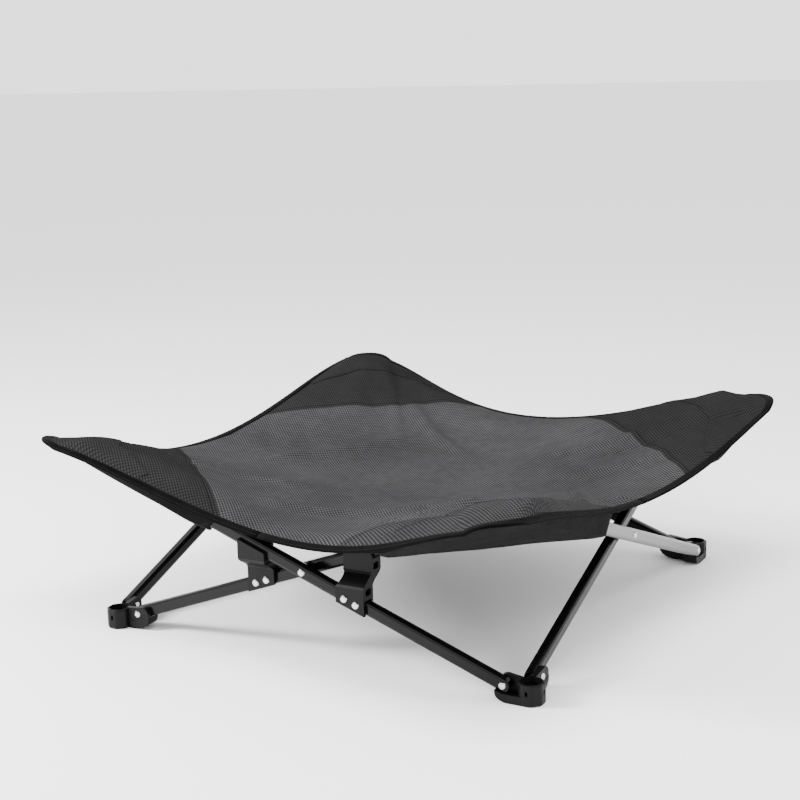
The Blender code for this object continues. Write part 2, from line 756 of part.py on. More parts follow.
def corner_strip(turn, edge, before, after):
    # The edge points of one tip, with some rim points before and after it.
    per_side = len(RIM_SHARES) + TIP_STEPS + 1
    first = turn * per_side + len(RIM_SHARES) - before
    count = before + TIP_STEPS + 1 + after
    return [edge[(first + i) % len(edge)] for i in range(count)]


def seam_point(point):
    # A point just inside the sheet's edge and just under it, on the line to its next ring.
    inner = RING_SHARES[-2]
    radius = point.xy.length
    edge_height = sheet_height(point.x, point.y, point.z, 1.0)
    inner_height = sheet_height(point.x * inner, point.y * inner, point.z, inner)
    slope = (edge_height - inner_height) / (radius * (1 - inner))
    keep = 1 - POCKET_MARGIN / radius
    under = SHEET_THICK * math.hypot(1, slope) + SEAM_GAP
    return Vector((point.x * keep, point.y * keep, edge_height - slope * POCKET_MARGIN - under))


def make_pocket(turn, edge):
    # Rows run from a seam at the sheet's edge to the mouth, a chord that lies under both tubes.
    strip = corner_strip(turn, edge, len(RIM_SHARES), len(RIM_SHARES))
    local = [Vector((*quarter(x, y, -turn), z)) for x, y, z in strip]
    held = [p for p in local if p.x - p.y > MOUTH_LINE]
    inset = (held[-1] - held[0]).normalized() * MOUTH_INSET
    start = held[0] + inset
    end = held[-1] - inset
    bm = bmesh.new()
    rows = []
    for i, point in enumerate(held):
        aim = start.lerp(end, i / (len(held) - 1))
        row = []
        seam = seam_point(Vector((*quarter(point.x, point.y, turn), point.z)))
        hem = Vector((*quarter(seam.x, seam.y, -turn), point.z))
        for share in POCKET_SHARES:
            spot = hem.lerp(aim, share)
            x, y = quarter(spot.x, spot.y, turn)
            top = sheet_height(x, y, point.z, spot.xy.length / point.xy.length) - SHEET_THICK - POCKET_DROP
            height = pocket_height(spot.x, spot.y, top, share) if share else seam.z
            row.append(bm.verts.new((x, y, height)))
        rows.append(row)
    for row, following in zip(rows[:-1], rows[1:]):
        for a, b, c, d in zip(row[:-1], row[1:], following[1:], following[:-1]):
            bm.faces.new((a, d, c, b))
    pocket = mesh_object("corner_pocket_" + CORNERS[turn], bm)
    solidify(pocket, POCKET_THICK)
    return finish(pocket, POCKET_CLOTH)


def make_patch(turn, edge):
    # A stiff patch on top of the sheet that covers one tip, on the sheet's own grid.
    bm = bmesh.new()
    rows = []
    for x, y, z in corner_strip(turn, edge, PATCH_SPREAD, PATCH_SPREAD):
        row = []
        for share in RING_SHARES[-1 - PATCH_RINGS:]:
            height = sheet_height(x * share, y * share, z, share) + PATCH_GAP + PATCH_THICK
            row.append(bm.verts.new((x * share, y * share, height)))
        rows.append(row)
    for row, following in zip(rows[:-1], rows[1:]):
        for a, b, c, d in zip(row[:-1], row[1:], following[1:], following[:-1]):
            bm.faces.new((a, b, c, d))
    patch = mesh_object("tip_patch_" + CORNERS[turn], bm)
    solidify(patch, PATCH_THICK)
    return finish(patch, TAPE_CLOTH)


FRAMES = side_frames()
make_tubes(FRAMES)
make_pivots(FRAMES)
make_feet(FRAMES)
make_brackets(FRAMES)
EDGE = sheet_edge()
SHEET_EDGE = inset_edge(EDGE, BINDING_WIDTH + BINDING_CLEARANCE)
make_sheet(SHEET_EDGE)
make_binding(EDGE)
for corner_turn in range(4):
    make_pocket(corner_turn, SHEET_EDGE)
    make_patch(corner_turn, SHEET_EDGE)
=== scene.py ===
# Folding camping dog bed. The frame's solids get their finishes here, and the cover is made here:
# four quarters of mesh cloth with a bound edge, a patch on each tip and a pocket under each corner.
import math

import bmesh
import bpy
import numpy as np
from mathutils import Matrix, Vector, noise


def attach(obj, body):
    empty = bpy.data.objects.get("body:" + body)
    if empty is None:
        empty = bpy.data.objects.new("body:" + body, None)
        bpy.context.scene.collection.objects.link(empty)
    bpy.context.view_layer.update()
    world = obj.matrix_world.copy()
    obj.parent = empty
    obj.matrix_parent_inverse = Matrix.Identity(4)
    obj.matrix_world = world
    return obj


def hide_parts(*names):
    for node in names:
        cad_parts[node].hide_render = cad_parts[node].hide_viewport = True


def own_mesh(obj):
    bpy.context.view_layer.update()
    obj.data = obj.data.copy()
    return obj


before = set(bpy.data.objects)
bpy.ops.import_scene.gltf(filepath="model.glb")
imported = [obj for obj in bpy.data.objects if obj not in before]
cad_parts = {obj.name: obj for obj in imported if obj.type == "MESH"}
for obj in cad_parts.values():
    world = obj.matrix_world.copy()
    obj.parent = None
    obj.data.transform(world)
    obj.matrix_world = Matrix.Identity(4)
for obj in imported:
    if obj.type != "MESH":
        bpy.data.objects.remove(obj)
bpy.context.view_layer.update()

# Frame sizes, as in the part's source
SIDE_PLANE = 0.350
PIVOT_REACH = 0.317
PIVOT_HEIGHT = 0.024
INCLINE = math.radians(20.2)
SLOPE = math.tan(INCLINE)
OUTER_RUN = 0.705
INNER_RUN = 0.655
TUBE_DEPTH = 0.020
TUBE_RISE = TUBE_DEPTH / 2 / math.cos(INCLINE)
PLANE_OFFSET = 0.012

# Cover sizes, as in the part's source but for the first skew, that of the front rim
TIP_REACH = 0.6007
TIP_SWING = math.radians(7.4)
TIP_RADIUS = 0.055
TIP_HALF_ARC = math.radians(50)
TIP_HEIGHT = 0.2945
RIM_PULL = (0.035, 0.035, 0.030, 0.030)
RIM_SAG = (0.104, 0.090, 0.088, 0.081)
RIM_SKEW = (1.25, 1.20, 1.30, 1.60)
MIDDLE_HEIGHT = 0.180
BOWL_POWER = 1.7
TENT_CLEARANCE = 0.0045
TENT_OVERRUN = 0.008

# The rim's line: how its inward pull rounds, the lower front right tip, and the rounds of evening out
RIM_PULL_POWER = 1.5
FRONT_DROOP = 0.009
DROOP_REACH = 0.17
RIM_SMOOTHING = 24

# How the cloth tents over a tube: the plug's wall under it, the flat beside the tube and the falls past that
PLUG_WALL = 0.0016
TENT_FLAT = 0.040
TENT_FALL = 0.35
TENT_OUTER_FLAT = 0.012
TENT_OUTER_FALL = 2.0
TENT_BLEND = 0.012

# What the cloth may not sink into: the tubes with their plugs, and the brackets
REST_GAP = 0.0035
PLUG_HALF_WIDTH = 0.0135
PLUG_OVERRUN = 0.012
BRACKET_PLACE = 0.083
BRACKET_HALF_LENGTH = 0.028
BRACKET_HALF_WIDTH = 0.031
BRACKET_TOP = 0.1935
NO_SUPPORT = -1.0

# Waves all over the cloth: scale and layer of the noise, and height
WAVES = ((5.0, 1.7, 0.0030),
         (16.0, 5.3, 0.0012))

# Pulls that fan out from each tip, with their number in a full circle
PULL_DISTANCE = 0.20
PULL_WIDTH = 0.11
PULL_HEIGHT = 0.0016
PULL_COUNT = 17
PULL_SHIFT = 1.3

# Long soft folds: start, end, height and half width. Their ends fade out, and they sway by so many
# radians in a metre.
FOLDS = (((-0.16, -0.27), (0.24, -0.09), 0.00714, 0.015),
         ((0.04, -0.33), (0.17, -0.07), 0.00612, 0.014),
         ((0.10, -0.37), (0.33, -0.20), 0.00510, 0.012),
         ((0.26, 0.02), (0.38, -0.22), 0.00578, 0.013),
         ((0.12, 0.16), (0.36, 0.30), 0.00578, 0.014),
         ((0.20, 0.08), (0.42, 0.20), 0.00510, 0.013),
         ((-0.30, -0.04), (-0.12, 0.22), 0.00612, 0.015),
         ((-0.37, -0.20), (-0.12, -0.12), 0.00578, 0.014),
         ((-0.20, 0.34), (0.02, 0.16), 0.00578, 0.014))
FOLD_FADE = 0.05
FOLD_SWAY = 0.010
FOLD_SWAY_RATE = 11

# Gathered spots: centre, half widths, height, and the gathers' direction and radians in a metre
GATHERS = (((0.375, -0.075), (0.055, 0.070), 0.0042, (0.35, 0.90), 165),
           ((-0.33, 0.05), (0.10, 0.05), 0.0025, (0.80, 0.60), 90))

# Fineness of the cover, and the rounds in which it settles
TIP_STEPS = 14
RIM_STEPS = 36
RINGS = 56
RING_SPREAD = 0.86
CENTRE_SHARE = 0.0008
SETTLE_ROUNDS = 26
PER_SIDE = RIM_STEPS - 1 + TIP_STEPS + 1

# The sheet: thickness, how far it ends inside the rim's line, and where its folds fade out before the rim
SHEET_THICK = 0.0012
CLOTH_INSET = 0.003
RIM_FADE = 0.05

# The doubled corners of the sheet, where x and y without their signs add up to more than this line,
# and the two seams along their border
DOUBLE_LINE = 0.512
DOUBLE_EDGE = 0.003
# How far the doubled corners are painted towards black: partly for their two layers, partly painted shade
DOUBLE_LAYER_AND_SHADE = 0.66
# Painted light: the lit front right corner keeps only this share of the corners' darkening
LIT_FRONT_SHADE_SHARE = 0.35
BORDER_SEAMS = (0.001, 0.011)
BORDER_SEAM_HALF_WIDTH = 0.0022

# The binding round the rim
TAPE_HALF_WIDTH = 0.0070
TAPE_HALF_THICK = 0.0028
TAPE_SIDES = 14
TAPE_EDGE_POWER = 0.7
TAPE_FACE_POWER = 0.8
TAPE_DROP = 0.0006
TAPE_SMOOTHING = 12
TAPE_STITCH_ROWS = (-0.0050, 0.0040)
TAPE_STITCH_LIFT = 0.0024

# The stitches: spacing, length, width, where the first starts, and places and sizes of the rings of each
STITCH_SPACING = 0.0042
STITCH_LENGTH = 0.0027
STITCH_WIDTH = 0.0005
STITCH_START = 0.2
STITCH_RINGS = ((0.0, 0.55), (0.25, 1.0), (0.75, 1.0), (1.0, 0.55))
STITCH_ANGLES = (0.0, math.pi / 3, 2 * math.pi / 3, math.pi)

# The tip patches: where they start and end as shares of the way to the rim, and how their inner edge curves
PATCH_THICK = 0.0008
PATCH_LIFT = 0.0012
PATCH_START = 0.80
PATCH_SIDE_START = 0.15
PATCH_CURVE = 2.2
PATCH_END = 0.985
PATCH_STEPS = 14
PATCH_HALF_COLUMNS = TIP_STEPS // 2 + 7
PATCH_STITCH_ROWS = (0.45, 1.4)
PATCH_STITCH_LIFT = 0.0001

# The pockets: the mouth lines on the two sides of each, as x - y when turned to the front right corner,
# and the lengths of its tapered ends
MOUTHS = ((0.547, 0.512), (0.580, 0.560), (0.560, 0.560), (0.560, 0.512))
POCKET_TAPERS = ((0.055, 0.006), (0.055, 0.040), (0.055, 0.040), (0.055, 0.055))
MOUTH_MARGIN = 0.012
POCKET_THICK = 0.0009
POCKET_STEPS = 30
POCKET_SPREAD = 1.25
SEAM_INSET = 0.006
SEAM_DROP = 0.0026
WALL_SHARE = 0.15
UNDER_TUBE = 0.0068
LEAST_WALL = 0.006
TAPER_WALL = 0.004
POCKET_HANG = 0.004
CREASE_DEPTH = 0.0016
BROAD_CREASE = (9, 3.1)
FINE_CREASE = (26, 7.7)
FINE_CREASE_SHARE = 0.5
POCKET_STITCH_ROW = -3
POCKET_STITCH_LIFT = 0.0010

# The tube that carries each corner of the cover
CORNERS = ("front_right", "back_right", "back_left", "front_left")
CARRIER = {"front_right": "right_outer", "back_right": "back_outer",
           "back_left": "left_outer", "front_left": "front_outer"}

# Turns a direction by an eighth of a circle
DIAGONAL = 0.7071


# Node helpers

class Tree:
    def __init__(self, name):
        self.material = bpy.data.materials.new(name)
        self.material.use_nodes = True
        self.tree = self.material.node_tree
        self.shader = self.tree.nodes["Principled BSDF"]

    def new(self, kind, **values):
        node = self.tree.nodes.new(kind)
        for key, value in values.items():
            setattr(node, key, value)
        return node

    def link(self, source, target):
        self.tree.links.new(source, target)

    def math(self, operation, a, b=None, clamp=False):
        node = self.new("ShaderNodeMath", operation=operation, use_clamp=clamp)
        for socket, value in zip(node.inputs, (a, b)):
            if value is None:
                continue
            if isinstance(value, (int, float)):
                socket.default_value = value
            else:
                self.link(value, socket)
        return node.outputs[0]

    def scaled(self, value, factor, offset):
        output = self.math("MULTIPLY_ADD", value, factor)
        output.node.inputs[2].default_value = offset
        return output

    def wave(self, value, turn):
        return self.math("SINE", self.math("MULTIPLY", value, turn))

    def noise(self, scale, detail=3.0, roughness=0.5, coordinates=None):
        node = self.new("ShaderNodeTexNoise")
        node.inputs["Scale"].default_value = scale
        node.inputs["Detail"].default_value = detail
        node.inputs["Roughness"].default_value = roughness
        if coordinates is None:
            coordinates = self.new("ShaderNodeTexCoord").outputs["Object"]
        self.link(coordinates, node.inputs["Vector"])
        return node.outputs["Fac"]

    def stretched(self, size):
        mapping = self.new("ShaderNodeMapping")
        mapping.inputs["Scale"].default_value = size
        self.link(self.new("ShaderNodeTexCoord").outputs["Object"], mapping.inputs["Vector"])
        return mapping.outputs[0]

    def uv(self):
        split = self.new("ShaderNodeSeparateXYZ")
        self.link(self.new("ShaderNodeUVMap", uv_map="cloth").outputs[0], split.inputs[0])
        return split.outputs[0], split.outputs[1]

    def ramp(self, value, *stops):
        node = self.new("ShaderNodeValToRGB")
        elements = node.color_ramp.elements
        while len(elements) < len(stops):
            elements.new(0.5)
        for element, (place, color) in zip(elements, stops):
            element.position = place
            element.color = (*color, 1.0)
        self.link(value, node.inputs[0])
        return node.outputs[0]

    def mix(self, share, a, b, blend="MIX"):
        node = self.new("ShaderNodeMix", data_type="RGBA", blend_type=blend)
        for socket, value in ((node.inputs[0], share), (node.inputs[6], a), (node.inputs[7], b)):
            if isinstance(value, (int, float)):
                socket.default_value = value
            elif isinstance(value, tuple):
                socket.default_value = (*value, 1.0)
            else:
                self.link(value, socket)
        return node.outputs[2]

    def bump(self, height, strength, distance, below=None):
        node = self.new("ShaderNodeBump")
        node.inputs["Strength"].default_value = strength
        node.inputs["Distance"].default_value = distance
        self.link(height, node.inputs["Height"])
        if below is not None:
            self.link(below, node.inputs["Normal"])
        return node.outputs[0]

    def finish(self, color=None, roughness=None, normal=None, **fixed):
        for key, value in fixed.items():
            self.shader.inputs[key.replace("_", " ")].default_value = value
        for key, value in (("Base Color", color), ("Roughness", roughness), ("Normal", normal)):
            if value is None:
                continue
            if isinstance(value, (int, float)):
                self.shader.inputs[key].default_value = value
            elif isinstance(value, tuple):
                self.shader.inputs[key].default_value = (*value, 1.0)
            else:
                self.link(value, self.shader.inputs[key])
        return self.material


def grey(value):
    return (value, value, value * 1.01)


# Materials

def woven_mesh(name, thread, gap, pitch):
    # Open diagonal mesh: two sets of crossed threads with small dark openings between them.
    t = Tree(name)
    u, v = t.uv()
    turn = math.pi / pitch
    warp = t.math("ABSOLUTE", t.wave(t.math("ADD", u, v), turn * DIAGONAL))
    weft = t.math("ABSOLUTE", t.wave(t.math("SUBTRACT", u, v), turn / 2))
    lowest_weft = 0.45
    height = t.math("MULTIPLY", warp, t.math("MAXIMUM", weft, lowest_weft))
    tone = t.ramp(height, (0.25, gap), (0.80, thread))
    broad = t.noise(scale=5.0, detail=2.0)
    fine = t.noise(scale=60.0, detail=3.0)
    tone = t.mix(1.0, tone, t.ramp(broad, (0.30, grey(0.72)), (0.70, grey(1.0))), "MULTIPLY")
    tone = t.mix(1.0, tone, t.ramp(fine, (0.25, grey(0.80)), (0.75, grey(1.0))), "MULTIPLY")
    tone = doubled_corners(t, u, v, tone)
    soft = t.bump(broad, strength=0.5, distance=0.008)
    threads = t.bump(height, strength=0.6, distance=0.0007, below=soft)
    return t.finish(tone, 0.75, threads, Specular_IOR_Level=0.0)


def doubled_corners(t, u, v, tone):
    # The doubled corners are painted darker, partly for their two layers and partly as painted shade;
    # the lit front right one less so, as painted light. Two sewn lines run along their border.
    reach = t.math("ADD", t.math("ABSOLUTE", u), t.math("ABSOLUTE", v))
    past = t.math("SUBTRACT", reach, DOUBLE_LINE)
    doubled = t.math("DIVIDE", past, DOUBLE_EDGE, clamp=True)
    # Painted light: the lit front right corner is painted less dark than the other corners
    front = t.math("MULTIPLY", t.math("GREATER_THAN", u, 0.0), t.math("LESS_THAN", v, 0.0))
    shade = t.math("SUBTRACT", 1.0, t.math("MULTIPLY", front, 1 - LIT_FRONT_SHADE_SHARE))
    # The doubled corners are mixed towards near black: partly their two layers, partly painted shade
    tone = t.mix(t.math("MULTIPLY", t.math("MULTIPLY", doubled, shade), DOUBLE_LAYER_AND_SHADE), tone, grey(0.004))
    for offset in BORDER_SEAMS:
        aside = t.math("ABSOLUTE", t.math("SUBTRACT", past, offset))
        seam = t.math("SUBTRACT", 1.0, t.math("DIVIDE", aside, BORDER_SEAM_HALF_WIDTH), clamp=True)
        tone = t.mix(t.math("MULTIPLY", seam, 0.75), tone, grey(0.002))
    return tone


def plain_cloth(name, light, dark, pitch, sheen, crumple):
    # Tight plain weave with a little sheen and soft creases, with painted shade in their hollows.
    t = Tree(name)
    u, v = t.uv()
    turn = 2 * math.pi / pitch
    weave = t.scaled(t.math("MULTIPLY", t.wave(u, turn), t.wave(v, turn)), factor=0.5, offset=0.5)
    creases = t.noise(scale=1.0, detail=5.0, roughness=0.6, coordinates=t.stretched((14.0, 14.0, 30.0)))
    broad = t.noise(scale=4.0, detail=2.0)
    # Painted shade: the tone follows the creases' height and is darker in their hollows
    tone = t.ramp(creases, (0.30, dark), (0.75, light))
    tone = t.mix(t.math("MULTIPLY", broad, 0.35), tone, dark)
    folds = t.bump(creases, strength=crumple, distance=0.006)
    threads = t.bump(weave, strength=0.35, distance=0.0003, below=folds)
    return t.finish(tone, 0.60, threads, Sheen_Weight=sheen, Sheen_Roughness=0.4, Specular_IOR_Level=0.02)


def tape_cloth(name, light, dark, pitch):
    # Grosgrain tape: close ribs across its width, and slightly worn.
    t = Tree(name)
    ribs = t.wave(t.uv()[0], 2 * math.pi / pitch)
    worn = t.noise(scale=35.0, detail=4.0)
    tone = t.ramp(worn, (0.35, dark), (0.85, light))
    bumps = t.bump(ribs, strength=0.5, distance=0.0004)
    return t.finish(tone, 0.6, bumps, Sheen_Weight=0.01, Sheen_Roughness=0.4, Specular_IOR_Level=0.01)


def sewing_thread(name, color):
    t = Tree(name)
    twist = t.noise(scale=900.0, detail=1.0)
    tone = t.mix(t.math("MULTIPLY", twist, 0.4), color, grey(color[0] * 0.4))
    return t.finish(tone, 0.6, Specular_IOR_Level=0.05)


def paint(name, color, streak):
    # Gloss powder coat: faint orange peel, and soft rub marks that are paler and duller.
    t = Tree(name)
    peel = t.noise(scale=700.0, detail=2.0)
    marks = t.noise(scale=9.0, detail=5.0, roughness=0.65)
    rough = t.scaled(marks, factor=0.16, offset=0.13)
    tone = t.mix(t.math("MULTIPLY", marks, streak), color, grey(color[0] * 2.6))
    bumps = t.bump(peel, strength=0.12, distance=0.0002)
    return t.finish(tone, rough, bumps, Coat_Weight=0.05, Coat_Roughness=0.12, Specular_IOR_Level=0.14)


def bright_metal(name, color):
    # Satin drawn aluminium with fine lines along its length and a few rubbed patches.
    t = Tree(name)
    lines = t.noise(scale=1.0, detail=4.0, roughness=0.6, coordinates=t.stretched((900.0, 14.0, 900.0)))
    rubs = t.noise(scale=16.0, detail=4.0)
    rough = t.scaled(lines, factor=0.22, offset=0.26)
    tone = t.mix(t.math("MULTIPLY", rubs, 0.35), color, grey(color[0] * 0.72))
    return t.finish(tone, rough, t.bump(lines, strength=0.2, distance=0.0002), Metallic=0.85)


def moulded(name, color):
    # Moulded nylon with a fine spark texture and slight flow marks.
    t = Tree(name)
    spark = t.noise(scale=1500.0, detail=2.0)
    flow = t.noise(scale=24.0, detail=4.0)
    rough = t.scaled(flow, factor=0.22, offset=0.30)
    tone = t.mix(t.math("MULTIPLY", flow, 0.5), color, grey(color[0] * 1.9))
    return t.finish(tone, rough, t.bump(spark, strength=0.18, distance=0.0002), Specular_IOR_Level=0.12)


def plated(name, color):
    # Chrome plate with a faint haze.
    t = Tree(name)
    haze = t.noise(scale=120.0, detail=3.0)
    rough = t.scaled(haze, factor=0.14, offset=0.08)
    return t.finish(color, rough, t.bump(haze, strength=0.05, distance=0.0002), Metallic=1.0)


MESH = woven_mesh("cover_mesh", thread=grey(0.056), gap=grey(0.015), pitch=0.0041)
TAPE = tape_cloth("binding_tape", light=grey(0.0026), dark=grey(0.0012), pitch=0.0016)
POCKET = plain_cloth("pocket_weave", light=grey(0.0038), dark=grey(0.0014), pitch=0.0012,
                     sheen=0.01, crumple=0.45)
THREAD = sewing_thread("stitch_thread", grey(0.008))
BLACK_PAINT = paint("black_gloss_paint", grey(0.0012), streak=0.3)
BRIGHT = bright_metal("bright_tube_metal", (0.20, 0.20, 0.205))
NYLON = moulded("black_nylon", grey(0.0022))
CHROME = plated("rivet_chrome", (0.58, 0.58, 0.59))


# The frame's finishes

def finish_of(node):
    if "rivet" in node:
        return CHROME
    if node == "right_outer_tube":
        return BRIGHT
    if node.endswith("_tube"):
        return BLACK_PAINT
    return NYLON


SOFT = ("sleeping_sheet", "edge_binding", "corner_pocket", "tip_patch")
for node_name, node_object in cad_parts.items():
    if node_name.startswith(SOFT):
        continue
    node_object.data.materials.clear()
    node_object.data.materials.append(finish_of(node_name))


# Helpers for points and lines

def turned(x, y, turns):
    for _ in range(turns % 4):
        x, y = -y, x
    return x, y


def hump(share):
    # Rises from 0 at both ends to 1 in the middle.
    return 4 * share * (1 - share)


def ease_in_out(share):
    return share * share * (3 - 2 * share)


def run_along(line):
    steps = np.linalg.norm(np.diff(line, axis=0), axis=1)
    return np.concatenate([[0], np.cumsum(steps)])


def smooth_line(line, rounds):
    for _ in range(rounds):
        line[1:-1] = (line[:-2] + 2 * line[1:-1] + line[2:]) / 4
    return line


def between(rows, place):
    low = int(min(place, len(rows) - 2))
    share = place - low
    return rows[low] * (1 - share) + rows[low + 1] * share


# The line of the rim

def tip_arc(turn):
    heading = -math.pi / 4 - TIP_SWING
    middle = TIP_REACH - TIP_RADIUS
    points = []
    for i in range(TIP_STEPS + 1):
        angle = heading - TIP_HALF_ARC + 2 * TIP_HALF_ARC * i / TIP_STEPS
        x = middle * math.cos(heading) + TIP_RADIUS * math.cos(angle)
        y = middle * math.sin(heading) + TIP_RADIUS * math.sin(angle)
        points.append((*turned(x, y, turn), TIP_HEIGHT))
    return points


def rim(turn):
    start = Vector(tip_arc(turn - 1)[-1])
    end = Vector(tip_arc(turn)[0])
    along = (end - start).normalized()
    inward = Vector((-along.y, along.x, 0))
    points = []
    for i in range(1, RIM_STEPS):
        share = i / RIM_STEPS
        point = start.lerp(end, share) + inward * RIM_PULL[turn] * hump(share) ** RIM_PULL_POWER
        point.z -= RIM_SAG[turn] * hump(share ** RIM_SKEW[turn])
        points.append(tuple(point))
    return points


def edge_points():
    points = []
    for turn in range(4):
        points += rim(turn) + tip_arc(turn)
    points = np.array(points)
    tip = points[RIM_STEPS - 1 + TIP_STEPS // 2]
    near = np.hypot(points[:, 0] - tip[0], points[:, 1] - tip[1]) / DROOP_REACH
    points[:, 2] -= FRONT_DROOP * np.exp(-near ** 2)
    for _ in range(RIM_SMOOTHING):
        points[:, 2] = (np.roll(points[:, 2], 1) + 2 * points[:, 2] + np.roll(points[:, 2], -1)) / 4
    return points


# The cover's surface, as arrays over a polar grid

def smooth_max(a, b):
    overlap = np.maximum(TENT_BLEND - np.abs(a - b), 0.0)
    return np.maximum(a, b) + overlap * overlap / (4 * TENT_BLEND)


def over_tubes(x, y, height):
    for turn in range(4):
        u, v = turned(x, y, -turn)
        for direction, run in ((-1, OUTER_RUN), (1, INNER_RUN)):
            reach = np.minimum(direction * u + PIVOT_REACH, run + TENT_OVERRUN)
            past = direction * u + PIVOT_REACH - reach
            aside = v + SIDE_PLANE - direction * PLANE_OFFSET
            fall = TENT_FALL * (np.maximum(aside - TENT_FLAT, 0) + np.maximum(past, 0))
            fall = fall + TENT_OUTER_FALL * np.maximum(-aside - TENT_OUTER_FLAT, 0)
            top = PIVOT_HEIGHT + reach * SLOPE + TUBE_RISE + PLUG_WALL + TENT_CLEARANCE
            height = smooth_max(height, top - fall)
    return height


def on_tubes(x, y):
    # The lowest that the cloth may lie: on the tubes, the plugs and the brackets, and free elsewhere.
    lowest = np.full(x.shape, NO_SUPPORT)
    for turn in range(4):
        u, v = turned(x, y, -turn)
        for direction, run in ((-1, OUTER_RUN), (1, INNER_RUN)):
            reach = direction * u + PIVOT_REACH
            aside = np.abs(v + SIDE_PLANE - direction * PLANE_OFFSET)
            top = PIVOT_HEIGHT + np.minimum(reach, run) * SLOPE + TUBE_RISE + REST_GAP
            inside = (aside < PLUG_HALF_WIDTH) & (reach > 0) & (reach < run + PLUG_OVERRUN)
            lowest = np.where(inside, np.maximum(lowest, top), lowest)
        if turn % 2 == 0:
            lengthwise = np.abs(np.abs(u) - BRACKET_PLACE) < BRACKET_HALF_LENGTH
            sideways = np.abs(v + SIDE_PLANE) < BRACKET_HALF_WIDTH
            lowest = np.where(lengthwise & sideways, np.maximum(lowest, BRACKET_TOP), lowest)
    return lowest


def surface(edge, shares):
    x = edge[None, :, 0] * shares[:, None]
    y = edge[None, :, 1] * shares[:, None]
    bowl = MIDDLE_HEIGHT + (edge[None, :, 2] - MIDDLE_HEIGHT) * shares[:, None] ** BOWL_POWER
    height = over_tubes(x, y, bowl)
    height[-1] = edge[:, 2]
    return x, y, height


def settle(x, y, z, rounds):
    # Evens the cloth out like a membrane that is held at its edge and rests on the frame.
    lowest = on_tubes(x, y)
    for _ in range(rounds):
        inner = (z[:-2] + z[2:] + np.roll(z, 1, 1)[1:-1] + np.roll(z, -1, 1)[1:-1]) / 4
        z[1:-1] = np.maximum(inner, lowest[1:-1])
        z[0] = z[1].mean()
    return z


def waves(x, y):
    out = np.zeros(x.shape)
    for index in np.ndindex(x.shape):
        for scale, layer, height in WAVES:
            out[index] += height * noise.noise(Vector((x[index] * scale, y[index] * scale, layer)))
    return out


def tip_pulls(x, y, turn):
    heading = -math.pi / 4 - TIP_SWING + turn * math.pi / 2
    dx = x - TIP_REACH * math.cos(heading)
    dy = y - TIP_REACH * math.sin(heading)
    strength = np.exp(-((np.hypot(dx, dy) - PULL_DISTANCE) / PULL_WIDTH) ** 2)
    return PULL_HEIGHT * strength * np.sin(np.arctan2(dy, dx) * PULL_COUNT + turn * PULL_SHIFT)


def long_fold(x, y, start, end, height, half_width):
    span = np.array(end) - np.array(start)
    length = np.linalg.norm(span)
    dx = x - start[0]
    dy = y - start[1]
    along = (dx * span[0] + dy * span[1]) / length
    aside = (dx * span[1] - dy * span[0]) / length
    ends = np.clip(along / FOLD_FADE, 0, 1) * np.clip((length - along) / FOLD_FADE, 0, 1)
    sway = FOLD_SWAY * np.sin(along * FOLD_SWAY_RATE)
    return height * ends * np.exp(-((aside - sway) / half_width) ** 2)


def gather(x, y, centre, half_widths, height, direction, rate):
    dx = (x - centre[0]) / half_widths[0]
    dy = (y - centre[1]) / half_widths[1]
    crossing = (x * direction[0] + y * direction[1]) * rate
    return height * np.exp(-dx ** 2 - dy ** 2) * np.sin(crossing)


def fold_field(x, y):
    # Low wrinkles: soft waves all over, pulls towards each tip, long folds and two gathered spots.
    out = waves(x, y)
    for turn in range(4):
        out += tip_pulls(x, y, turn)
    for fold in FOLDS:
        out += long_fold(x, y, *fold)
    for spot in GATHERS:
        out += gather(x, y, *spot)
    return out


def grid_normals(points, closed):
    if closed:
        across = np.roll(points, -1, 1) - np.roll(points, 1, 1)
    else:
        across = np.gradient(points, axis=1)
    out = np.gradient(points, axis=0)
    normals = np.cross(out, across)
    size = np.linalg.norm(normals, axis=2, keepdims=True)
    normals = normals / np.maximum(size, 1e-12)
    return normals * np.where(normals[..., 2:3].mean() < 0, -1.0, 1.0)


# Building pieces

